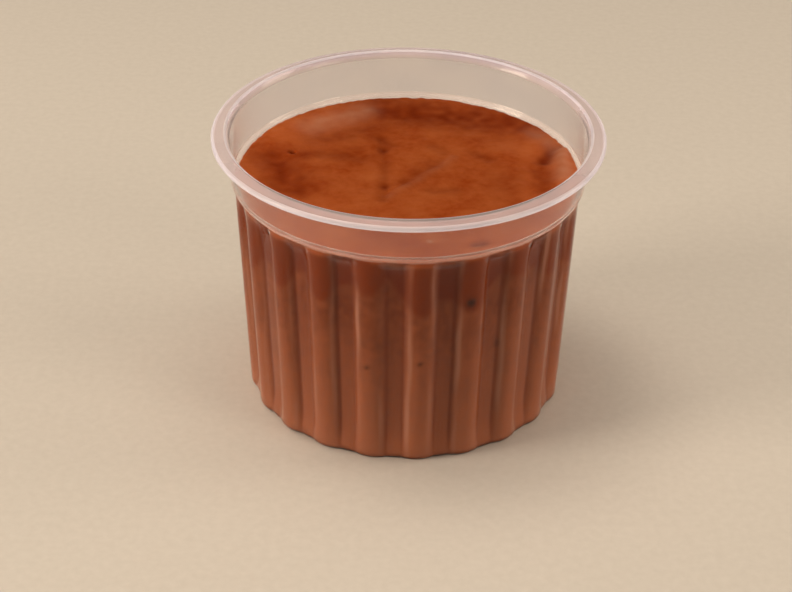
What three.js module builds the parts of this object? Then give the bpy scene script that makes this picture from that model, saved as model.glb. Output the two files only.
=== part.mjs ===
// Chocolate mousse set in its own fluted, see-through pudding cup.
// Millimetres, +Z up. The origin is the middle of the plane that the cup stands on.

import * as THREE from "three";

// Driving sizes of the cup
const RIM_RADIUS = 44.0;
const CUP_HEIGHT = 65.5;
const WALL = 0.7;

// Rolled rim: a nearly flat flange with a short skirt turned down at its edge
const FLANGE_RISE = 0.7; // from the flange's outer edge up to its inner edge
const FLANGE_THICKNESS = 0.9;
const LIP_ROUND = 0.5; // how far the rounded lip falls back from the flange and the edge
const INNER_LIP_DROP = 0.25; // how far the flange's inner edge is rounded over
const SKIRT_HEIGHT = 1.0;
const SKIRT_THICKNESS = 0.6;

// Smooth collar between the rim and the shoulder
const COLLAR_TOP_RADIUS = 40.6;
const COLLAR_BOTTOM_RADIUS = 39.9;
const SHOULDER_Z = 54.3; // outside corner of the shoulder, under the collar
const SHOULDER_DROP = 0.6;
const SHELF_RISE = 0.23; // the shoulder's inside lies this much above its outside

// Fluted, tapering body: rounded lobes with flat-bottomed grooves between them
const BODY_TOP_RADIUS = 39.15; // over the lobes
const BODY_BASE_RADIUS = 36.75;
const FLUTES = 21;
const LOBE_ARC = 5.0; // radius of each lobe's round front
const GROOVE_DEPTH = 1.6;
const GROOVE_RAMP = 1.3; // height over which a groove runs out under the shoulder
const INNER_RAMP_RISE = 0.18; // the inside of a groove runs out this much higher
const FOOT_RAMP = 8.0; // height over which a groove gets shallower towards the foot
const FOOT_SHARE = 0.45; // share of the groove's depth that is left at the foot
const FIRST_LOBE = THREE.MathUtils.degToRad(-85);

// Base: a flat ring to stand on, round a slightly raised middle
const CORNER_ROUND = 1.7;
const FOOT_INNER_RADIUS = 27.2;
const MIDDLE_RADIUS = 26.0;
const MIDDLE_RISE = 0.8;

// The mousse fills the cup to just under the shoulder
const CLEARANCE = 0.35; // gap between the mousse and the wall
const MOUSSE_LEVEL = 54.0;
const EDGE_ROUND = 0.6; // how far the top's edge is rounded over
const SURFACE_RINGS = 12;

// Columns of points round the axis: whole numbers of them to each flute
const FLUTED_COLUMNS = FLUTES * 8;
const SMOOTH_COLUMNS = FLUTES * 4;
const FLOOR_COLUMNS = FLUTES * 2;

// Sizes that follow from the driving ones
const SHOULDER_FOOT_Z = SHOULDER_Z - SHOULDER_DROP;
const GROOVE_TOP_Z = SHOULDER_FOOT_Z - GROOVE_RAMP;
const MEAN_BODY_RADIUS = (BODY_TOP_RADIUS + BODY_BASE_RADIUS) / 2;
const FLANGE_EDGE_Z = CUP_HEIGHT - FLANGE_RISE;
const SKIRT_FOOT_Z = FLANGE_EDGE_Z - SKIRT_HEIGHT;

// Relief of the set surface, in millimetres from the level. Folds run between two places.
const TROUGH = { radius: 29, halfWidth: 5, height: -0.35 };
const CREASE = { from: [-5.5, 17], to: [-5.4, -12], halfWidth: 1.5, height: -0.55 };
const RIDGE = { from: [-3.9, -11.7], to: [9.5, 7.6], halfWidth: 2.2, height: 0.5 };
const SMEAR = { from: [37, 13], to: [33, -5], halfWidth: 2.6, height: 0.9 };
const FOLDS = [CREASE, RIDGE, SMEAR];
const SPOON_MARK = { at: [32, 11], halfWidth: 2.0, height: -1.0 };
const BACK_DENT = { at: [16.4, 8.8], halfWidth: 2.4, height: -0.4 };
const FRONT_DENT = { at: [8.3, -8.1], halfWidth: 2.2, height: -0.4 };
const LEFT_HOLLOW = { at: [-27, -1], halfWidth: 6.0, height: -0.4 };
const DENTS = [SPOON_MARK, BACK_DENT, FRONT_DENT, LEFT_HOLLOW];

// Finishes
const PLASTIC = { color: 0xdccfca, roughness: 0.22, metalness: 0, transparent: true, opacity: 0.4 };
const MOUSSE = { color: 0x86401f, roughness: 0.55, metalness: 0 };

// A level of a surface of revolution: lobe radius, height, share of the groove depth, columns
function station(radius, z, flute, columns) {
  return { radius, z, flute, columns };
}

// How far the wall lies behind the lobes' crowns at one direction round the axis
function grooveDip(turn) {
  const period = (2 * Math.PI) / FLUTES;
  const turns = (turn - FIRST_LOBE) / period;
  const fromCrown = (turns - Math.round(turns)) * period;
  const across = MEAN_BODY_RADIUS * Math.sin(fromCrown);
  const dip = LOBE_ARC - Math.sqrt(Math.max(LOBE_ARC ** 2 - across ** 2, 0));
  return Math.min(dip, GROOVE_DEPTH);
}

// The points of one station, anticlockwise seen from above
function ring({ radius, z, flute, columns }) {
  if (radius === 0) {
    return [new THREE.Vector3(0, 0, z)];
  }
  const points = [];
  for (let k = 0; k < columns; k += 1) {
    const turn = FIRST_LOBE + (k / columns) * 2 * Math.PI;
    const reach = radius - flute * grooveDip(turn);
    points.push(new THREE.Vector3(reach * Math.cos(turn), reach * Math.sin(turn), z));
  }
  return points;
}

// Triangles between two closed rings, which may have different numbers of points
function joinRings(lower, upper, index) {
  let i = 0;
  let j = 0;
  while (i < lower.count || j < upper.count) {
    const a = lower.start + (i % lower.count);
    const b = upper.start + (j % upper.count);
    const lowerEnds = (i + 1) / lower.count;
    const upperEnds = (j + 1) / upper.count;
    if (upper.count === 1 || (lower.count > 1 && lowerEnds <= upperEnds)) {
      index.push(a, lower.start + ((i + 1) % lower.count), b);
      i += 1;
    } else {
      index.push(a, upper.start + ((j + 1) % upper.count), b);
      j += 1;
    }
    if (upper.count === 1 && i === lower.count) {
      return;
    }
    if (lower.count === 1 && j === upper.count) {
      return;
    }
  }
}

// A closed skin over rings that run from the pole under the piece to its last pole
function skin(rings) {
  const position = [];
  const index = [];
  let below = null;
  for (const points of rings) {
    const level = { start: position.length / 3, count: points.length };
    for (const p of points) {
      position.push(p.x, p.y, p.z);
    }
    if (below) {
      joinRings(below, level, index);
    }
    below = level;
  }
  const geometry = new THREE.BufferGeometry();
  geometry.setAttribute("position", new THREE.Float32BufferAttribute(position, 3));
  geometry.setIndex(index);
  geometry.computeVertexNormals();
  return geometry;
}

// Lobe radius of the outside of the tapering body at a height
function bodyRadius(z) {
  return THREE.MathUtils.mapLinear(z, 0, SHOULDER_FOOT_Z, BODY_BASE_RADIUS, BODY_TOP_RADIUS);
}

// Share of the groove's depth at a height near the foot
function footShare(z) {
  return FOOT_SHARE + (1 - FOOT_SHARE) * THREE.MathUtils.smoothstep(z, 0, FOOT_RAMP);
}

// Base, rounded corner and fluted side, moved inwards from the cup's outside by an offset
function bodyStations(offset) {
  const n = FLUTED_COLUMNS;
  const round = CORNER_ROUND - offset / 2;
  const endZ = offset + round;
  const edge = bodyRadius(endZ) - offset;
  const fallBack = round * (1 - Math.SQRT1_2);
  return [
    station(0, MIDDLE_RISE + offset, 0, 1),
    station(MIDDLE_RADIUS, MIDDLE_RISE + offset, 0, FLOOR_COLUMNS),
    station(FOOT_INNER_RADIUS, offset, 0, SMOOTH_COLUMNS),
    station(edge - round, offset, FOOT_SHARE, n),
    station(edge - fallBack, offset + fallBack, FOOT_SHARE, n),
    station(edge, endZ, footShare(endZ), n),
    station(bodyRadius(FOOT_RAMP / 2) - offset, FOOT_RAMP / 2, footShare(FOOT_RAMP / 2), n),
    station(bodyRadius(FOOT_RAMP) - offset, FOOT_RAMP, 1, n),
    station(bodyRadius(GROOVE_TOP_Z) - offset, GROOVE_TOP_Z, 1, n),
  ];
}

// Shoulder, collar and rim, from the top of the flutes outside to the top of those inside
function rimStations() {
  const n = SMOOTH_COLUMNS;
  const flangeInner = COLLAR_TOP_RADIUS + WALL;
  const lipRadius = RIM_RADIUS - LIP_ROUND;
  const shelfZ = SHOULDER_Z + SHELF_RISE;
  return [
    station(BODY_TOP_RADIUS, SHOULDER_FOOT_Z, 0, FLUTED_COLUMNS),
    station(COLLAR_BOTTOM_RADIUS, SHOULDER_Z, 0, n),
    station(COLLAR_TOP_RADIUS, FLANGE_EDGE_Z - FLANGE_THICKNESS, 0, n),
    station(flangeInner, CUP_HEIGHT - FLANGE_THICKNESS, 0, n),
    station(lipRadius - SKIRT_THICKNESS, FLANGE_EDGE_Z - FLANGE_THICKNESS, 0, n),
    station(RIM_RADIUS - SKIRT_THICKNESS, SKIRT_FOOT_Z, 0, n),
    station(RIM_RADIUS, SKIRT_FOOT_Z, 0, n),
    station(RIM_RADIUS, FLANGE_EDGE_Z - LIP_ROUND, 0, n),
    station(lipRadius, FLANGE_EDGE_Z, 0, n),
    station(flangeInner, CUP_HEIGHT, 0, n),
    station(COLLAR_TOP_RADIUS, CUP_HEIGHT - INNER_LIP_DROP, 0, n),
    station(COLLAR_TOP_RADIUS - WALL, FLANGE_EDGE_Z - LIP_ROUND, 0, n),
    station(COLLAR_BOTTOM_RADIUS - WALL, shelfZ + SHOULDER_DROP, 0, n),
    station(BODY_TOP_RADIUS - WALL, shelfZ, 0, n),
    station(BODY_TOP_RADIUS - WALL, SHOULDER_FOOT_Z + INNER_RAMP_RISE, 0, FLUTED_COLUMNS),
  ];
}

// The moulded cup: its outside from the base up, over the rim and down its inside
function cupGeometry() {
  const outside = bodyStations(0);
  const inside = bodyStations(WALL).reverse();
  return skin([...outside, ...rimStations(), ...inside].map(ring));
}

// A bell-shaped bump or hollow that fades with distance
function bell(distance, { halfWidth, height }) {
  return height * Math.exp(-((distance / halfWidth) ** 2));
}

// Distance from a place to the stretch between a fold's two ends
function distanceToFold(x, y, fold) {
  const from = new THREE.Vector3(...fold.from, 0);
  const to = new THREE.Vector3(...fold.to, 0);
  const place = new THREE.Vector3(x, y, 0);
  const nearest = new THREE.Line3(from, to).closestPointToPoint(place, true, new THREE.Vector3());
  return nearest.distanceTo(place);
}

// Height of the mousse's surface above or below its level
function relief(x, y) {
  let height = bell(Math.hypot(x, y) - TROUGH.radius, TROUGH);
  for (const fold of FOLDS) {
    height += bell(distanceToFold(x, y, fold), fold);
  }
  for (const dent of DENTS) {
    height += bell(Math.hypot(x - dent.at[0], y - dent.at[1]), dent);
  }
  return height;
}

// Rings of the uneven top, from its rounded edge to the middle
function surfaceRings() {
  const edgeRadius = BODY_TOP_RADIUS - WALL - CLEARANCE;
  const edgeZ = MOUSSE_LEVEL - EDGE_ROUND;
  const runOut = (SHOULDER_FOOT_Z + INNER_RAMP_RISE - edgeZ) / (GROOVE_RAMP + INNER_RAMP_RISE);
  const rings = [ring(station(edgeRadius, edgeZ, runOut, FLUTED_COLUMNS))];
  for (let k = 0; k < SURFACE_RINGS; k += 1) {
    const radius = (edgeRadius - EDGE_ROUND) * (1 - k / SURFACE_RINGS);
    rings.push(ring(station(radius, MOUSSE_LEVEL, 0, k ? SMOOTH_COLUMNS : FLUTED_COLUMNS)));
  }
  rings.push(ring(station(0, MOUSSE_LEVEL, 0, 1)));
  for (const points of rings.slice(1)) {
    for (const p of points) {
      p.z += relief(p.x, p.y);
    }
  }
  return rings;
}

// The mousse: its fluted side follows the cup's inside, its top is the set surface
function mousseGeometry() {
  const side = bodyStations(WALL + CLEARANCE).map(ring);
  return skin([...side, ...surfaceRings()]);
}

function cup() {
  const mesh = new THREE.Mesh(cupGeometry(), new THREE.MeshStandardMaterial(PLASTIC));
  mesh.name = "cup";
  return mesh;
}

function mousse() {
  const mesh = new THREE.Mesh(mousseGeometry(), new THREE.MeshStandardMaterial(MOUSSE));
  mesh.name = "mousse";
  return mesh;
}

const part = new THREE.Group();
part.add(cup(), mousse());

export default part;
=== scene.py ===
# %% [markdown]
# # Chocolate mousse in a fluted cup
#
# The dessert is two things: a thin moulded cup, clear and faintly milky, and the mousse that was poured
# into it and set there. A solid of each is loaded first. It fixes where everything is and how
# large, and this script makes the finer surfaces and their finish around it.
#
# Everything is in metres, with Z up and the cup standing on Z = 0.

# %% Load the solids
import math

import bmesh
import bpy
from mathutils import Matrix, Vector, noise


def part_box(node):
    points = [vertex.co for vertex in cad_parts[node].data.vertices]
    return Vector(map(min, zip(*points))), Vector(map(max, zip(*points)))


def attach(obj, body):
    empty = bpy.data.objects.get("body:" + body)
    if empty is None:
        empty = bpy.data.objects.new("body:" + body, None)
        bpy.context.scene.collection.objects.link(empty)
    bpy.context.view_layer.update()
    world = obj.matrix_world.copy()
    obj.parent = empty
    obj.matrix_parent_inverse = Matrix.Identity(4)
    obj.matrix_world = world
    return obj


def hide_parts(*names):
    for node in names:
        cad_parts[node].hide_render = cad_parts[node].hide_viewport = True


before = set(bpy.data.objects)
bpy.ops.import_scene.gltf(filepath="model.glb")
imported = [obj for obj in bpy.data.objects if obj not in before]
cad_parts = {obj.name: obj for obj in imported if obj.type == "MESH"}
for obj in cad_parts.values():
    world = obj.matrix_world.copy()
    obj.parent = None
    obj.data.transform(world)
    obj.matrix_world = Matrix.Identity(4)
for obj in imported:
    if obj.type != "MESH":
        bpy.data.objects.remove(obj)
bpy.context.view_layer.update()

# %% [markdown]
# ## The sizes that everything follows
#
# The rim's radius and the height come from the solid, so the two can't drift apart. The rest are the sizes
# a mould maker would state: the wall, the flutes, the shoulder and the roundings. A flute is a round lobe
# and the flat groove beside it. Twenty-one of them go round the cup.

# %% Driving sizes
MM = 0.001
cup_low, cup_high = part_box("cup")
RIM_RADIUS = (cup_high[0] - cup_low[0]) / 2
CUP_HEIGHT = cup_high[2]
WALL = 0.7 * MM

COLLAR_TOP_RADIUS = 40.6 * MM
COLLAR_BOTTOM_RADIUS = 39.9 * MM
SHOULDER_Z = 54.3 * MM
SHOULDER_FOOT_Z = 53.7 * MM
BODY_TOP_RADIUS = 39.15 * MM
BODY_BASE_RADIUS = 36.75 * MM
CORNER_ROUND = 1.7 * MM
GROOVE_FULL_RADIUS = BODY_BASE_RADIUS - 4 * MM
FOOT_INNER_RADIUS = 27.2 * MM
MIDDLE_RADIUS = 26.0 * MM
MIDDLE_RISE = 0.8 * MM

FLUTES = 21
COLUMNS_A_FLUTE = 24
FLUTE_PERIOD = 2 * math.pi / FLUTES
FIRST_LOBE = math.radians(-85)
LOBE_ARC = 5.0 * MM
GROOVE_DEPTH = 1.6 * MM
GROOVE_FILLET = 0.35 * MM
GROOVE_TOP_Z = 52.4 * MM
FOOT_RAMP = 8.0 * MM
FOOT_SHARE = 0.45
print("rim", round(2 * RIM_RADIUS / MM, 1), "mm across,", FLUTES * COLUMNS_A_FLUTE, "columns round the axis")

# %% [markdown]
# ## Turning a profile
#
# A cup is a body of revolution, so it starts as half a cross-section: a wire of a few corners. Beveling a
# corner of a wire with vertices turned on gives it a round of a chosen size, exactly as a mould maker notes
# a radius on a drawing. Long stretches are then cut into short ones, so that there are rows of points to
# shape later, and `spin` turns the wire into a skin. Drawing the skin point by point would give the same
# mesh with far more to get wrong.
#
# The spin goes only as far as one flute. That slice is pressed into shape, and a second spin, with
# duplicates turned on, repeats it round the axis. It is quicker than one long spin, because each step of a
# spin goes over all that is there already.

# %% Profile, cuts and spin
ROUND_SEGMENTS = 6
MERGE_DISTANCE = 0.001 * MM


def wire(corners):
    """A wire in the XZ plane through corners of (radius, height, rounding)."""
    bm = bmesh.new()
    made = [bm.verts.new((radius, 0, height)) for radius, height, _ in corners]
    for a, b in zip(made, made[1:]):
        bm.edges.new((a, b))
    for vert, (_, _, rounding) in zip(made, corners):
        if rounding:
            bmesh.ops.bevel(bm, geom=[vert], offset=rounding, offset_type="OFFSET",
                            segments=ROUND_SEGMENTS, profile=0.5, affect="VERTICES", material=-1)
    return bm


def cut_long_edges(bm, longest):
    """Cuts each edge into stretches no longer than longest(middle of the edge)."""
    for edge in list(bm.edges):
        middle = (edge.verts[0].co + edge.verts[1].co) / 2
        cuts = math.ceil(edge.calc_length() / longest(middle)) - 1
        if cuts > 0:
            bmesh.ops.subdivide_edges(bm, edges=[edge], cuts=cuts)


def turned(corners, longest):
    """The fluted skin that a profile sweeps in a full turn, with its poles and seams closed."""
    bm = wire(corners)
    cut_long_edges(bm, longest)
    about_z = {"cent": (0, 0, 0), "axis": (0, 0, 1), "dvec": (0, 0, 0)}
    bmesh.ops.spin(bm, geom=bm.verts[:] + bm.edges[:], angle=FLUTE_PERIOD, steps=COLUMNS_A_FLUTE,
                   **about_z)
    press_flute(bm)
    bmesh.ops.spin(bm, geom=bm.verts[:] + bm.edges[:] + bm.faces[:], angle=2 * math.pi - FLUTE_PERIOD,
                   steps=FLUTES - 1, use_duplicate=True, **about_z)
    bmesh.ops.remove_doubles(bm, verts=bm.verts, dist=MERGE_DISTANCE)
    bmesh.ops.recalc_face_normals(bm, faces=bm.faces)
    return bm


def finished(name, bm, *materials):
    """A smooth-shaded object at the origin that holds the mesh and its materials."""
    mesh = bpy.data.meshes.new(name)
    bm.to_mesh(mesh)
    bm.free()
    mesh.shade_smooth()
    for material in materials:
        mesh.materials.append(material)
    piece = bpy.data.objects.new(name, mesh)
    bpy.context.collection.objects.link(piece)
    print(name, "has", len(mesh.polygons), "faces")
    return piece

# %% [markdown]
# ## Pressing the flutes
#
# Each point of a turned skin is pulled towards the axis by the depth of the groove in its direction. The
# lobe is an arc of 5 mm radius, and a smooth minimum melts it into the groove's flat floor, as the plastic
# does in a mould. The depth runs out to nothing under the shoulder and towards the middle of the base, and
# near the foot the grooves are less than half as deep. Because the same rule shapes the cup's outside, its
# inside and the mousse, they fit one another all the way round.

# %% The flute rule
def smooth_min(a, b, blend):
    """The smaller of two lengths, rounded off where they are nearly equal."""
    near = max(blend - abs(a - b), 0) / blend
    return min(a, b) - near * near * blend / 4


def smooth_step(low, high, value):
    """0 below low, 1 above high, and an S-shaped rise between them."""
    share = min(max((value - low) / (high - low), 0), 1)
    return share * share * (3 - 2 * share)


def across_lobe(turn):
    """How far a direction round the axis lies to the side of the nearest lobe's middle."""
    turns = (turn - FIRST_LOBE) / FLUTE_PERIOD
    return (BODY_TOP_RADIUS + BODY_BASE_RADIUS) / 2 * math.sin((turns - round(turns)) * FLUTE_PERIOD)


def groove_dip(turn):
    """How far the wall lies behind the lobes' crowns, in one direction round the axis."""
    lobe = LOBE_ARC - math.sqrt(max(LOBE_ARC ** 2 - across_lobe(turn) ** 2, 0))
    return smooth_min(lobe, GROOVE_DEPTH, GROOVE_FILLET)


def flute_share(radius, z):
    """How much of the groove's depth applies at a radius and height."""
    under_shoulder = 1 - smooth_step(GROOVE_TOP_Z, SHOULDER_FOOT_Z, z)
    foot = FOOT_SHARE + (1 - FOOT_SHARE) * smooth_step(0, FOOT_RAMP, z)
    base = min(max((radius - FOOT_INNER_RADIUS) / (GROOVE_FULL_RADIUS - FOOT_INNER_RADIUS), 0), 1)
    return under_shoulder * foot * base


def press_flute(bm):
    """Pulls the points of a turned skin in to make its grooves."""
    for vert in bm.verts:
        radius = math.hypot(vert.co.x, vert.co.y)
        if radius > FOOT_INNER_RADIUS:
            dip = groove_dip(math.atan2(vert.co.y, vert.co.x)) * flute_share(radius, vert.co.z)
            vert.co.xy *= (radius - dip) / radius


print("grooves", round(groove_dip(FIRST_LOBE + FLUTE_PERIOD / 2) / MM, 2), "mm deep under the shoulder")

# %% [markdown]
# ## Node groups
#
# Neither the plastic nor the mousse has one even colour. Both carry soft clouds: haze in the plastic, air
# in the mousse. So the clouds are a node group with named inputs, built once and placed in each material
# with its own scale and limits. It reads Object coordinates, which stay put when the camera moves.

# %% A group for soft clouds
NOISE_LOW, NOISE_HIGH = 0.3, 0.7  # nearly all values of the noise lie between these


def cloud_group():
    """Noise on Object coordinates, spread between two values."""
    group = bpy.data.node_groups.new("Soft clouds", "ShaderNodeTree")
    for name, value in (("Scale", 100.0), ("Detail", 4.0), ("Low", 0.0), ("High", 1.0)):
        socket = group.interface.new_socket(name, in_out="INPUT", socket_type="NodeSocketFloat")
        socket.default_value = value
    group.interface.new_socket("Value", in_out="OUTPUT", socket_type="NodeSocketFloat")
    nodes, links = group.nodes, group.links
    given = nodes.new("NodeGroupInput")
    result = nodes.new("NodeGroupOutput")
    place = nodes.new("ShaderNodeTexCoord")
    clouds = nodes.new("ShaderNodeTexNoise")
    spread = nodes.new("ShaderNodeMapRange")
    spread.inputs["From Min"].default_value = NOISE_LOW
    spread.inputs["From Max"].default_value = NOISE_HIGH
    links.new(place.outputs["Object"], clouds.inputs["Vector"])
    links.new(given.outputs["Scale"], clouds.inputs["Scale"])
    links.new(given.outputs["Detail"], clouds.inputs["Detail"])
    links.new(clouds.outputs["Fac"], spread.inputs["Value"])
    links.new(given.outputs["Low"], spread.inputs["To Min"])
    links.new(given.outputs["High"], spread.inputs["To Max"])
    links.new(spread.outputs["Result"], result.inputs["Value"])
    return group


SOFT_CLOUDS = cloud_group()
print("cloud group with the inputs", [item.name for item in SOFT_CLOUDS.interface.items_tree])


def clouds(tree, scale, low, high, detail=4.0):
    """Places the cloud group in a material and returns its output."""
    node = tree.nodes.new("ShaderNodeGroup")
    node.node_tree = SOFT_CLOUDS
    node.inputs["Scale"].default_value = scale
    node.inputs["Detail"].default_value = detail
    node.inputs["Low"].default_value = low
    node.inputs["High"].default_value = high
    return node.outputs["Value"]


def new_material(name):
    """A material with an empty node tree and its output."""
    material = bpy.data.materials.new(name)
    material.use_nodes = True
    material.node_tree.nodes.clear()
    output = material.node_tree.nodes.new("ShaderNodeOutputMaterial")
    return material, material.node_tree, output


def mixed_colours(tree, factor, first, second):
    """A colour that goes from the first to the second as the factor rises."""
    mix = tree.nodes.new("ShaderNodeMix")
    mix.data_type = "RGBA"
    tree.links.new(factor, mix.inputs["Factor"])
    for socket, colour in (("A", first), ("B", second)):
        if isinstance(colour, tuple):
            mix.inputs[socket].default_value = (*colour, 1)
        else:
            tree.links.new(colour, mix.inputs[socket])
    return mix.outputs["Result"]

# %% [markdown]
# ## The cup's plastic
#
# Thin polypropylene is clear but never quite: it scatters a little cool light. On the fluted wall, which
# the mousse wets from behind, that is next to nothing, and on the collar a light haze. The flange and the
# bend of the shoulder are thicker and look cloudy, and the flange's two edges, where light passes through
# still more of it, are milky lavender. So the cup has five finishes that differ in how much light they let
# through. All bend what lies behind them, which draws fine lines along the rim. Lamps would not shine
# through a refracting wall, so shadow rays meet a nearly clear shader instead.

# %% Milky plastic
HAZE_SCALE = 90.0
GLOSS_SCALE = 60.0
GLOSSIEST, DULLEST = 0.05, 0.12
LAMPLIGHT_TINT = (0.9, 0.89, 0.9, 1)


def plastic(name, transmission, bending, cool, pale):
    """Moulded plastic that lets through a share of the light and scatters the rest in two pale colours."""
    material, tree, output = new_material(name)
    nodes, links = tree.nodes, tree.links
    wall = nodes.new("ShaderNodeBsdfPrincipled")
    wall.inputs["Transmission Weight"].default_value = transmission
    wall.inputs["IOR"].default_value = bending
    haze = clouds(tree, HAZE_SCALE, low=0.0, high=1.0)
    links.new(mixed_colours(tree, haze, cool, pale), wall.inputs["Base Color"])
    links.new(clouds(tree, GLOSS_SCALE, low=GLOSSIEST, high=DULLEST), wall.inputs["Roughness"])
    path = nodes.new("ShaderNodeLightPath")
    lamplight = nodes.new("ShaderNodeBsdfTransparent")
    lamplight.inputs["Color"].default_value = LAMPLIGHT_TINT
    either = nodes.new("ShaderNodeMixShader")
    links.new(path.outputs["Is Shadow Ray"], either.inputs["Fac"])
    links.new(wall.outputs["BSDF"], either.inputs[1])
    links.new(lamplight.outputs["BSDF"], either.inputs[2])
    links.new(either.outputs["Shader"], output.inputs["Surface"])
    return material

# %% [markdown]
# ## The cup
#
# The profile runs from the middle of the base, over the rim and down the inside, so one spin gives a wall
# with both of its faces. The rim is a flat flange with a short skirt turned down, which is what a lid snaps
# over.

# %% The cup's profile
FLANGE_Z = CUP_HEIGHT - 0.7 * MM
SKIRT_FOOT_Z = FLANGE_Z - 1.0 * MM
SHELF_Z = SHOULDER_Z + 0.25 * MM
BASE_ROUND = 0.4 * MM
SHOULDER_ROUND = 0.45 * MM


def cup_profile():
    """Corners of (radius, height, rounding) along the outside, over the rim and down the inside."""
    return [
        # the base: its raised middle, the flat ring that it stands on, and its edge
        (0, MIDDLE_RISE, 0),
        (MIDDLE_RADIUS, MIDDLE_RISE, BASE_ROUND),
        (FOOT_INNER_RADIUS, 0, BASE_ROUND),
        (BODY_BASE_RADIUS, 0, CORNER_ROUND),
        # the outside: the top of the lobes, the shoulder, and the collar's top
        (BODY_TOP_RADIUS, SHOULDER_FOOT_Z, 0.3 * MM),
        (COLLAR_BOTTOM_RADIUS, SHOULDER_Z, SHOULDER_ROUND),
        (COLLAR_TOP_RADIUS, FLANGE_Z - 0.5 * MM, 0.4 * MM),
        # the rim: the skirt's inner and outer foot, its top, and the flange's inner edge
        (RIM_RADIUS - 0.7 * MM, SKIRT_FOOT_Z, 0.3 * MM),
        (RIM_RADIUS - 0.6 * MM, SKIRT_FOOT_Z, 0.2 * MM),
        (RIM_RADIUS, SKIRT_FOOT_Z, 0.25 * MM),
        (RIM_RADIUS, FLANGE_Z, 0.6 * MM),
        (COLLAR_TOP_RADIUS + 0.2 * MM, CUP_HEIGHT, 0.5 * MM),
        # the inside, down to the middle of the base
        (COLLAR_TOP_RADIUS - WALL, FLANGE_Z - 0.8 * MM, 0.3 * MM),
        (COLLAR_BOTTOM_RADIUS - WALL, SHELF_Z + 0.6 * MM, SHOULDER_ROUND),
        (BODY_TOP_RADIUS - WALL, SHELF_Z, SHOULDER_ROUND),
        (BODY_BASE_RADIUS - WALL, WALL, CORNER_ROUND - WALL / 2),
        (FOOT_INNER_RADIUS + 0.3 * MM, WALL, BASE_ROUND),
        (MIDDLE_RADIUS + 0.3 * MM, WALL + MIDDLE_RISE, BASE_ROUND),
        (0, WALL + MIDDLE_RISE, 0),
    ]


CLOSE_ROWS = 0.25 * MM
WIDE_ROWS = 4 * MM
CLOSE_ROWS_FROM_Z = GROOVE_TOP_Z - 1 * MM


def cup_rows(middle):
    """Rows are close where the grooves run out, and a few millimetres apart elsewhere."""
    if middle.x > FOOT_INNER_RADIUS and CLOSE_ROWS_FROM_Z < middle.z < SHOULDER_Z:
        return CLOSE_ROWS
    return WIDE_ROWS

# %% [markdown]
# ## Which finish goes where
#
# One skin carries all five finishes. Each face gets the number of its material from where its middle lies:
# on the fluted wall, the bend of the shoulder, the collar, the flange or one of the flange's edges. Five
# separate rings would need walls where they meet, and light that bends through the plastic would draw every
# one of them.

# %% Make the cup
FINISHES = (  # name, share of light let through, how it bends light, cool colour, pale colour
    ("Clear wall", 0.996, 1.3, (0.90, 0.89, 0.93), (0.96, 0.94, 0.96)),
    ("Hazy collar", 0.965, 1.38, (0.88, 0.87, 0.92), (0.94, 0.92, 0.95)),
    ("Cloudy flange", 0.70, 1.35, (0.74, 0.665, 0.69), (0.82, 0.735, 0.75)),
    ("Milky lip", 0.50, 1.40, (0.86, 0.84, 0.96), (0.95, 0.93, 1.0)),
    ("Cloudy shoulder", 0.80, 1.36, (0.86, 0.80, 0.80), (0.93, 0.87, 0.86)),
)
ON_WALL, ON_COLLAR, ON_FLANGE, ON_LIP, ON_SHOULDER = range(len(FINISHES))
FLANGE_FROM_Z = SKIRT_FOOT_Z - 0.1 * MM
SHOULDER_FROM_Z = SHOULDER_FOOT_Z - 0.6 * MM
COLLAR_FROM_Z = SHELF_Z + 0.8 * MM
LIP_FROM_RADIUS = RIM_RADIUS - 1.3 * MM
INNER_EDGE_TO_RADIUS = COLLAR_TOP_RADIUS + 0.5 * MM
INNER_EDGE_FROM_Z = FLANGE_Z - 0.1 * MM


def finish_at(place):
    """The number of the finish at a place on the cup."""
    radius = place.xy.length
    if place.z > FLANGE_FROM_Z:
        inner_edge = radius < INNER_EDGE_TO_RADIUS and place.z > INNER_EDGE_FROM_Z
        return ON_LIP if inner_edge or radius > LIP_FROM_RADIUS else ON_FLANGE
    if place.z < SHOULDER_FROM_Z:
        return ON_WALL
    return ON_SHOULDER if place.z < COLLAR_FROM_Z else ON_COLLAR


cup_skin = turned(cup_profile(), cup_rows)
for face in cup_skin.faces:
    face.material_index = finish_at(face.calc_center_median())
cup = finished("fluted_cup", cup_skin, *(plastic(*finish) for finish in FINISHES))
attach(cup, "root")
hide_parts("cup")
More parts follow.
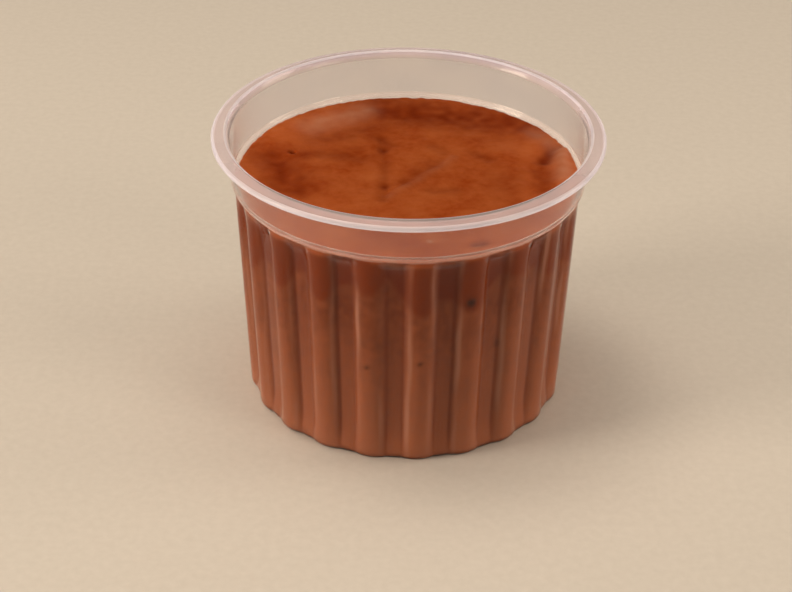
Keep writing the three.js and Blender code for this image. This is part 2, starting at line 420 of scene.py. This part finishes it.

# %% [markdown]
# ## The mousse's surface
#
# Mousse is poured thick and sets as it falls, so its top keeps what happened to it: a crease where two
# folds met, a low ridge, a few dents, and a smear where a spoon touched the wall. Each form is a soft bump
# or hollow along the stretch between two places, and a pit is a stretch of no length. It may also paint the
# surface: painted shade darkens the crease, the hollows, the dents and a band along the back, and a painted
# highlight lightens the ridge, the smear, a shine on the left and a pale fleck near the front. Places are
# first pushed about a little by noise, or the folds would look ruled.

# %% Forms on the top
MOUSSE_LEVEL = 54.0 * MM
# Each form's shade is painted shade, and its paler paint is a painted highlight: sheen on the ridge, the
# smear and the shine, and a glint in the pale fleck.
FORMS_IN_MM = {
    "crease, back": {"from": (-6, 17), "to": (-5.6, 11), "half_width": 1.5, "height": -0.35, "shade": 0.6},
    "crease, hook": {"from": (-5, 15), "to": (-3, 13), "half_width": 1.2, "height": -0.15, "shade": 0.35},
    "crease": {"from": (-5.6, 11), "to": (-5.3, -6), "half_width": 1.5, "height": -0.25, "shade": 0.4},
    "crease, front": {"from": (-5.3, -6), "to": (-5, -12.5), "half_width": 1.6, "height": -0.3, "shade": 0.4},
    "ridge": {"from": (-3.9, -11.7), "to": (9.5, 7), "half_width": 1.2, "height": 0.35, "painted_highlight": 0.15},
    "under the ridge": {"from": (0, -4), "to": (6, 5), "half_width": 2.4, "height": -0.2, "shade": 0.45},
    "smear": {"from": (36, 11.5), "to": (35, -2), "half_width": 2.2, "height": 0.9, "painted_highlight": 0.62},
    "smear's tail": {"from": (29, 20.5), "to": (33.5, 14.5), "half_width": 2.4, "height": 0.1, "shade": 0.4,
                     "painted_highlight": 0.36},
    "spoon mark": {"from": (33.5, 13), "to": (31.5, 8), "half_width": 2.2, "height": -1.0, "shade": 1.0},
    "below the smear": {"from": (30, 3), "to": (31, -6), "half_width": 2.6, "height": -0.3, "shade": 0.6},
    "back dent": {"from": (15.5, 10), "to": (19, 7.5), "half_width": 1.8, "height": -0.3, "shade": 0.5},
    "second dent": {"from": (6, 13), "to": (8, 10), "half_width": 1.8, "height": -0.15, "shade": 0.35},
    "right fold": {"from": (22, -2), "to": (24, -16), "half_width": 6.0, "height": -0.1, "shade": 0.3},
    "front dent": {"from": (5.5, -8), "to": (11, -7), "half_width": 1.8, "height": -0.3, "shade": 0.4},
    "left hollow": {"from": (-31, 6), "to": (-26, -7), "half_width": 6.5, "height": -0.4, "shade": 0.9},
    "left fold": {"from": (-20, 17), "to": (-9, 20), "half_width": 4.5, "height": -0.1, "shade": 0.45},
    "inner hollow": {"from": (-22, 8.5), "to": (-12, 8), "half_width": 3.0, "height": -0.15, "shade": 0.5},
    "pit": {"from": (-26.6, 10.3), "to": (-26.6, 10.3), "half_width": 0.7, "height": -0.9, "shade": 1.0},
    "shine": {"from": (-23, 22.6), "to": (-11, 31), "half_width": 3.6, "height": 0.1, "painted_highlight": 0.55},
    "back shade": {"from": (-6, 32), "to": (26, 26), "half_width": 7.5, "height": -0.1, "shade": 0.95},
    "dark fleck": {"from": (15, -31), "to": (16.5, -30.5), "half_width": 1.2, "height": -0.3, "shade": 1.0},
    "pale fleck": {"from": (4.5, -30), "to": (4.9, -30), "half_width": 0.6, "height": 0.1, "painted_highlight": 1.0},
}
TROUGH_RADIUS = 29 * MM
TROUGH_HALF_WIDTH = 5 * MM
TROUGH_DEPTH = 0.35 * MM
WANDER = 1.2 * MM
WANDER_SCALE = 9 * MM
RIPPLE = 0.14 * MM
RIPPLE_NOISE = (1.0, 2.0, 4)  # how fast finer waves fade, how much finer each is, and how many there are
EDGE_BUBBLES = 0.22 * MM
BUBBLES_FROM_RADIUS = BODY_TOP_RADIUS - 3 * MM
BUBBLES_FULL_RADIUS = BODY_TOP_RADIUS - 1 * MM
BUBBLE_SCALE = 1.3 * MM
PATCH_MIDDLE, PATCH_SPREAD = 0.9, 0.4
PATCH_SCALE = 2.5 * MM
TINY_AREA = 1e-9  # stands in for the squared length of a form that has none
WANDER_SEED = 217
noise.seed_set(WANDER_SEED)  # noise_vector starts somewhere else in each session, unless a seed is set


def bell(distance, half_width):
    """1 in the middle of a form, fading to nothing with distance."""
    return math.exp(-((distance / half_width) ** 2))


def nearness(place, form):
    """How strongly a form is felt at a place."""
    start = Vector(form["from"]) * MM
    along = Vector(form["to"]) * MM - start
    share = min(max((place - start).dot(along) / max(along.length_squared, TINY_AREA), 0), 1)
    return bell((place - start - along * share).length, form["half_width"] * MM)


def surface(x, y):
    """Height above the level, painted shade and painted highlight of the mousse's top at a place."""
    flat = Vector((x, y, 0))
    place = flat.xy + noise.noise_vector(flat / WANDER_SCALE).xy * WANDER
    height = -TROUGH_DEPTH * bell(place.length - TROUGH_RADIUS, TROUGH_HALF_WIDTH)
    shade = 0
    painted_highlight = 0
    for form in FORMS_IN_MM.values():
        near = nearness(place, form)
        height += near * form["height"] * MM
        shade += near * form.get("shade", 0)
        painted_highlight += near * form.get("painted_highlight", 0)
    height += RIPPLE * noise.fractal(flat / WANDER_SCALE, *RIPPLE_NOISE)
    near_wall = smooth_step(BUBBLES_FROM_RADIUS, BUBBLES_FULL_RADIUS, flat.length)
    height += near_wall * EDGE_BUBBLES * noise.noise(flat / BUBBLE_SCALE)
    patchy = PATCH_MIDDLE + PATCH_SPREAD * noise.noise(flat / PATCH_SCALE)
    return height, min(shade * patchy, 1), min(painted_highlight * patchy, 1)


middle_height = surface(0, 0)[0]
print(len(FORMS_IN_MM), "forms on the top. Its middle lies", round(middle_height / MM, 2), "mm off the level")

# %% [markdown]
# ## Pits against the wall
#
# Where the mousse was poured against the wall it shut in a few bubbles. They show through the plastic as
# small hollows darkened by painted shade. Each is given by its direction from the front, its height, its
# size and its depth.

# %% Bubbles that show through the wall
PITS_IN_MM = [
    {"turn": 21.5, "z": 41.9, "half_width": 0.95, "depth": 0.17},
    {"turn": 33.5, "z": 28.3, "half_width": 0.6, "depth": 0.1},
    {"turn": -12.8, "z": 25.6, "half_width": 0.5, "depth": 0.1},
    {"turn": 5.0, "z": 27.2, "half_width": 0.5, "depth": 0.1},
    {"turn": -48.0, "z": 34.0, "half_width": 0.5, "depth": 0.08},
    {"turn": 118.0, "z": 37.0, "half_width": 0.9, "depth": 0.15},
    {"turn": -140.0, "z": 23.0, "half_width": 0.7, "depth": 0.12},
]


def pit_depth(place):
    """How far a point of the mousse's side is set back by the pits."""
    depth = 0
    for pit in PITS_IN_MM:
        turn = math.radians(pit["turn"]) - math.pi / 2
        radius = place.xy.length
        middle = Vector((radius * math.cos(turn), radius * math.sin(turn), pit["z"] * MM))
        depth += pit["depth"] * MM * bell((place - middle).length, pit["half_width"] * MM)
    return depth


print(len(PITS_IN_MM), "bubbles against the wall")

# %% [markdown]
# ## The mousse's material
#
# It is reddish brown, satin rather than shiny, and full of air. Two sizes of clouds vary the brown. The
# side's browns are darker than the top's, which is painted shade on the side. The lower half is a touch
# paler, a painted reflection of pale ground near the foot, and near the top a darker band, also a painted
# reflection, runs down to a ragged line that hangs lowest on the lobes. Just under the shoulder the band
# stops at a ragged edge, and pale, broken lines of painted highlight run down the lobes' sides. Painted
# attributes say where: they put painted shade in the hollows, corners, grooves and pits, the darker band on
# the side, and painted highlights on the top and the lobes. A fine cellular bump stands for the bubbles.

# %% Aerated mousse
TOP_BROWNS = (0.25, 0.038, 0.003), (0.35, 0.085, 0.020)
# painted shade: the side's browns are darker than the top's, for a side that gets less light
SHADED_SIDE_BROWNS = (0.150, 0.030, 0.006), (0.210, 0.050, 0.013)
SIDE_UP_TO_Z, TOP_FROM_Z = 51.5 * MM, 52.5 * MM
# painted reflection: the lower half of the side turns paler, as where the wall mirrors pale ground
LOW_REFLECTION_BROWN = (0.37, 0.135, 0.066)
LOW_UP_TO_Z, LOW_ENDS_Z, LOW_REFLECTION_SHARE = 3 * MM, 38 * MM, 0.80
AIRY_BROWN = (0.40, 0.105, 0.03)
PAINTS = {
    # painted reflection: a darker band near the top of the side
    "dark_reflection": (0.175, 0.026, 0.0005),
    "shade": (0.14, 0.016, 0.0005),
    # painted highlight: sheen and glints on the top, streaks on the lobes
    "painted_highlight": (0.38, 0.17, 0.10),
    # painted shade inside the bubbles against the wall
    "pits": (0.05, 0.012, 0.003),
}


def painted_colour(tree, attribute, plain, paint):
    """A colour that turns into paint where the attribute is 1."""
    node = tree.nodes.new("ShaderNodeAttribute")
    node.attribute_name = attribute
    return mixed_colours(tree, node.outputs["Fac"], plain, paint)


def fading_up(tree, low, high, share):
    """A share up to one height that falls to nothing at a higher one."""
    place = tree.nodes.new("ShaderNodeTexCoord")
    split = tree.nodes.new("ShaderNodeSeparateXYZ")
    fade = tree.nodes.new("ShaderNodeMapRange")
    fade.inputs["From Min"].default_value = high
    fade.inputs["From Max"].default_value = low
    fade.inputs["To Max"].default_value = share
    tree.links.new(place.outputs["Object"], split.inputs["Vector"])
    tree.links.new(split.outputs["Z"], fade.inputs["Value"])
    return fade.outputs["Result"]


def mousse_material():
    """The mousse's browns, its painted shade, highlights and reflections, its satin finish and its bubbles.
    """
    material, tree, output = new_material("Aerated mousse")
    nodes, links = tree.nodes, tree.links
    shader = nodes.new("ShaderNodeBsdfPrincipled")
    shader.inputs["Specular IOR Level"].default_value = 0.03
    broad = clouds(tree, 140.0, low=0.0, high=1.0, detail=6.0)
    top = mixed_colours(tree, broad, *TOP_BROWNS)
    side = mixed_colours(tree, broad, *SHADED_SIDE_BROWNS)
    colour = mixed_colours(tree, fading_up(tree, SIDE_UP_TO_Z, TOP_FROM_Z, 1.0), top, side)
    colour = mixed_colours(tree, fading_up(tree, LOW_UP_TO_Z, LOW_ENDS_Z, LOW_REFLECTION_SHARE), colour, LOW_REFLECTION_BROWN)
    airy = clouds(tree, 700.0, low=0.0, high=0.3, detail=2.0)
    colour = mixed_colours(tree, airy, colour, AIRY_BROWN)
    for attribute, paint in PAINTS.items():
        colour = painted_colour(tree, attribute, colour, paint)
    links.new(colour, shader.inputs["Base Color"])
    links.new(clouds(tree, 420.0, low=0.45, high=0.6), shader.inputs["Roughness"])
    place = nodes.new("ShaderNodeTexCoord")
    cells = nodes.new("ShaderNodeTexVoronoi")
    cells.inputs["Scale"].default_value = 1500.0
    links.new(place.outputs["Object"], cells.inputs["Vector"])
    bump = nodes.new("ShaderNodeBump")
    bump.inputs["Strength"].default_value = 0.25
    bump.inputs["Distance"].default_value = 0.1 * MM
    links.new(cells.outputs["Distance"], bump.inputs["Height"])
    links.new(bump.outputs["Normal"], shader.inputs["Normal"])
    links.new(shader.outputs["BSDF"], output.inputs["Surface"])
    return material

# %% [markdown]
# ## The mousse
#
# Its skin is turned from a profile like the cup's. It reaches just into the wall, because food clings to a
# cup and a gap of air between them would shine like glass. The same rule presses the same flutes into it.

# %% The mousse's profile
INTO_WALL = 0.2 * MM
SET_BACK = WALL - INTO_WALL
EDGE_DROP = 0.1 * MM
EDGE_WIDTH = 0.6 * MM


def mousse_profile():
    """Corners of (radius, height, rounding) from the middle of the base to the middle of the top."""
    return [
        (0, MIDDLE_RISE + SET_BACK, 0),
        (MIDDLE_RADIUS + 0.2 * MM, MIDDLE_RISE + SET_BACK, BASE_ROUND),
        (FOOT_INNER_RADIUS + 0.2 * MM, SET_BACK, BASE_ROUND),
        (BODY_BASE_RADIUS - SET_BACK, SET_BACK, CORNER_ROUND - SET_BACK / 2),
        (BODY_TOP_RADIUS - SET_BACK, MOUSSE_LEVEL - EDGE_DROP, 0),
        (BODY_TOP_RADIUS - SET_BACK - EDGE_WIDTH, MOUSSE_LEVEL, 0),
        (0, MOUSSE_LEVEL, 0),
    ]


TOP_ROWS, TOP_ROWS_FROM_Z = 0.45 * MM, MOUSSE_LEVEL - 1 * MM
SIDE_ROWS, SIDE_ROWS_FROM_Z = 0.85 * MM, 2 * MM
BASE_ROWS = 5 * MM


def mousse_rows(middle):
    """Rows are close on the top, a little wider down the side, and far apart under the base."""
    if middle.z > TOP_ROWS_FROM_Z:
        return TOP_ROWS
    return SIDE_ROWS if middle.z > SIDE_ROWS_FROM_Z else BASE_ROWS

# %% [markdown]
# ## Paint on the mousse's side
#
# What shows through the wall isn't even: a darker band near the top, a painted reflection that stops at a
# ragged edge just under the shoulder, painted shade in the corners and grooves, and pale streaks of painted
# highlight. They follow the flutes, which a noise texture knows nothing of. So they are worked out for each
# point of the skin from the flute rule, and stored as attributes that the material reads.

# %% The rules for the paint
LOBE_HALF_WIDTH = math.sqrt(LOBE_ARC ** 2 - (LOBE_ARC - GROOVE_DEPTH) ** 2)
# painted reflection: a darker band near the top of the side, down to a ragged line; it stops under the
# shoulder
DARK_BAND_LINE = 45.0 * MM
DARK_BAND_HANG = 4 * MM
DARK_BAND_RAGGED = 7 * MM
DARK_BAND_SCALE = 12 * MM
DARK_BAND_EDGE = 1.3 * MM
BAND_TOP_LINE = 52.2 * MM
BAND_TOP_RAGGED = 2.0 * MM
BAND_TOP_SCALE = 7 * MM
BAND_TOP_EDGE = 0.5 * MM


def dark_reflection_share(place):
    """1 in the darker band of painted reflection, above a ragged line that hangs lowest on the lobes."""
    on_lobe = 1 - groove_dip(math.atan2(place.y, place.x)) / GROOVE_DEPTH
    line = DARK_BAND_LINE - DARK_BAND_HANG * on_lobe + DARK_BAND_RAGGED * noise.noise(place / DARK_BAND_SCALE)
    band_top_line = BAND_TOP_LINE + BAND_TOP_RAGGED * noise.noise(place / BAND_TOP_SCALE)
    below_band_top = 1 - smooth_step(band_top_line - BAND_TOP_EDGE, band_top_line + BAND_TOP_EDGE, place.z)
    return smooth_step(line - DARK_BAND_EDGE, line + DARK_BAND_EDGE, place.z) * below_band_top


# painted shade in the corners beside each lobe and in the grooves
CORNER_SHADE = 0.5
CORNER_HALF_WIDTH = 0.5 * MM
GROOVE_SHADE = 0.6
GROOVE_SHADE_FROM, GROOVE_SHADE_FULL = -0.4 * MM, 0.6 * MM
GROOVE_SHADE_OUTSIDE_BAND = 0.2


def corner_shade(place):
    """Painted shade in the corners beside a lobe and in the grooves, most of it in the darker band."""
    beside_corner = abs(across_lobe(math.atan2(place.y, place.x))) - LOBE_HALF_WIDTH
    corner = CORNER_SHADE * bell(beside_corner, CORNER_HALF_WIDTH)
    in_groove = smooth_step(GROOVE_SHADE_FROM, GROOVE_SHADE_FULL, beside_corner)
    groove = GROOVE_SHADE * in_groove * (GROOVE_SHADE_OUTSIDE_BAND + (1 - GROOVE_SHADE_OUTSIDE_BAND) * dark_reflection_share(place))
    return max(corner, groove) * flute_share(place.xy.length, place.z)


# painted highlight: pale broken streaks down both sides of each lobe's front, standing in for gloss
STREAK_ACROSS = 2.5 * MM
STREAK_HALF_WIDTH = 0.45 * MM
STREAK_STRENGTH = 0.9
RIGHT_STREAK = 0.6
STREAK_MIDDLE, STREAK_SPREAD = 0.45, 1.5
STREAK_SCALE = 6 * MM
STREAK_STRETCH = 3
STREAK_WANDER = 0.6 * MM
STREAK_WANDER_SCALE = 11 * MM


def flank_highlight(place):
    """Painted highlight along both sides of a lobe's front, broken here and there."""
    across = across_lobe(math.atan2(place.y, place.x))
    across += STREAK_WANDER * noise.noise(place / STREAK_WANDER_SCALE)
    drawn_out = Vector((place.x, place.y, place.z / STREAK_STRETCH))
    broken = min(max(STREAK_MIDDLE + STREAK_SPREAD * noise.noise(drawn_out / STREAK_SCALE), 0), 1)
    left = bell(across + STREAK_ACROSS, STREAK_HALF_WIDTH)
    right = RIGHT_STREAK * bell(across - STREAK_ACROSS, STREAK_HALF_WIDTH)
    return STREAK_STRENGTH * (left + right) * broken * flute_share(place.xy.length, place.z)

# %% [markdown]
# ## Shaping and painting the skin
#
# Points on the top are raised or sunk by the forms, and points on the side are set back by the pits. Both
# are painted as they are moved.

# %% Make the mousse
TOP_POINTS_FROM_Z = MOUSSE_LEVEL - 0.2 * MM
# painted shade in a pit is full where the pit is this deep
FULL_PIT = 0.12 * MM
AT_AXIS = 1 * MM  # keeps the middle of the base from dividing by nothing

mousse_skin = turned(mousse_profile(), mousse_rows)
shades = mousse_skin.verts.layers.float.new("shade")
painted_highlights = mousse_skin.verts.layers.float.new("painted_highlight")
pits = mousse_skin.verts.layers.float.new("pits")
dark_reflections = mousse_skin.verts.layers.float.new("dark_reflection")
# The top gets the forms' painted shade and highlight; the side gets its painted reflection band, painted
# shade in corners, grooves and pits, and painted highlight streaks.
for vert in mousse_skin.verts:
    if vert.co.z > TOP_POINTS_FROM_Z:
        height, vert[shades], vert[painted_highlights] = surface(vert.co.x, vert.co.y)
        vert.co.z += height
    else:
        depth = pit_depth(vert.co)
        vert.co.xy *= 1 - depth / max(vert.co.xy.length, AT_AXIS)
        vert[pits] = min(depth / FULL_PIT, 1)
        vert[dark_reflections] = dark_reflection_share(vert.co)
        vert[shades] = corner_shade(vert.co)
        vert[painted_highlights] = flank_highlight(vert.co)
mousse = finished("set_mousse", mousse_skin, mousse_material())
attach(mousse, "root")
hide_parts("mousse")

# %% [markdown]
# ## Floor and light
#
# A plain pale floor keeps the eye on the dessert. The light is soft and warm. A lamp on the left lights the
# lobes' left flanks and two weaker ones on the right draw their other edges, two high ones fill in from
# above, and the pale room does the rest. No lamp stands low at the back, where the flange would mirror it.

# %% The floor
FLOOR_RADIUS = 4.0
FLOOR_SEGMENTS = 96
FLOOR_TONES = (0.66, 0.63, 0.57), (0.70, 0.67, 0.61)


def floor_material():
    """An even, pale, satin floor with a faint speckle."""
    material, tree, output = new_material("Pale floor")
    shader = tree.nodes.new("ShaderNodeBsdfPrincipled")
    speckle = clouds(tree, 500.0, low=0.0, high=1.0, detail=8.0)
    tree.links.new(mixed_colours(tree, speckle, *FLOOR_TONES), shader.inputs["Base Color"])
    shader.inputs["Roughness"].default_value = 0.6
    tree.links.new(shader.outputs["BSDF"], output.inputs["Surface"])
    return material


floor_skin = bmesh.new()
bmesh.ops.create_circle(floor_skin, cap_ends=True, segments=FLOOR_SEGMENTS, radius=FLOOR_RADIUS)
floor = finished("floor", floor_skin, floor_material())

# %% The lights
WARM = (1.0, 0.84, 0.68)
ROOM_COLOUR = (1.0, 0.84, 0.70, 1)
ROOM_STRENGTH = 0.14


def soft_lamp(name, place, size, power):
    """A square area lamp that looks at the dessert."""
    lamp = bpy.data.lights.new(name, "AREA")
    lamp.size = size
    lamp.energy = power
    lamp.color = WARM
    holder = bpy.data.objects.new(name, lamp)
    holder.location = place
    towards = Vector((0, 0, CUP_HEIGHT / 2)) - Vector(place)
    holder.rotation_euler = towards.to_track_quat("-Z", "Y").to_euler()
    bpy.context.collection.objects.link(holder)
    return holder


soft_lamp("lamp_left", (-0.78, -0.25, 0.35), size=0.3, power=4.4)
soft_lamp("lamp_right", (0.75, 0.1, 0.35), size=0.3, power=1.5)
soft_lamp("lamp_front_right", (0.72, -0.45, 0.40), size=0.3, power=1.9)
soft_lamp("lamp_back_left", (-0.35, 0.15, 0.98), size=0.4, power=2.6)
soft_lamp("lamp_overhead", (0.0, 0.1, 1.1), size=0.9, power=3.8)

world = bpy.data.worlds.new("Pale room")
world.use_nodes = True
room = world.node_tree.nodes["Background"]
room.inputs["Color"].default_value = ROOM_COLOUR
room.inputs["Strength"].default_value = ROOM_STRENGTH
bpy.context.scene.world = world
bpy.context.scene.view_settings.view_transform = "Standard"
print(len(bpy.data.lights), "lamps in a pale room")

# %% [markdown]
# ## The camera
#
# The camera stands in front and looks down on the rim by about 27 degrees, from a little under half a metre
# away. Its distance, height and turn were worked out from the circles of the rim and the shoulder, which a
# camera sees as ellipses.

# %% Place the camera
IMAGE_WIDTH = 792
FOCAL_PIXELS = 1900
SENSOR_WIDTH = 36
CAMERA_BACK = 378.2 * MM
CAMERA_UP = 258.0 * MM
CAMERA_YAW = -0.0062
CAMERA_PITCH = 0.5596
CAMERA_ROLL = 0.0133

camera_data = bpy.data.cameras.new("camera")
camera_data.sensor_width = SENSOR_WIDTH
camera_data.lens = FOCAL_PIXELS * SENSOR_WIDTH / IMAGE_WIDTH
camera = bpy.data.objects.new("camera", camera_data)
ahead = Vector((math.sin(CAMERA_YAW) * math.cos(CAMERA_PITCH),
                math.cos(CAMERA_YAW) * math.cos(CAMERA_PITCH), -math.sin(CAMERA_PITCH)))
level = Vector((math.cos(CAMERA_YAW), -math.sin(CAMERA_YAW), 0))
upright = level.cross(ahead)
right = level * math.cos(CAMERA_ROLL) + upright * math.sin(CAMERA_ROLL)
up = upright * math.cos(CAMERA_ROLL) - level * math.sin(CAMERA_ROLL)
turn = Matrix((right, up, -ahead)).transposed().to_4x4()
camera.matrix_world = Matrix.Translation((0, -CAMERA_BACK, CAMERA_UP)) @ turn
bpy.context.collection.objects.link(camera)
bpy.context.scene.camera = camera
print("lens of", round(camera_data.lens, 1), "mm")
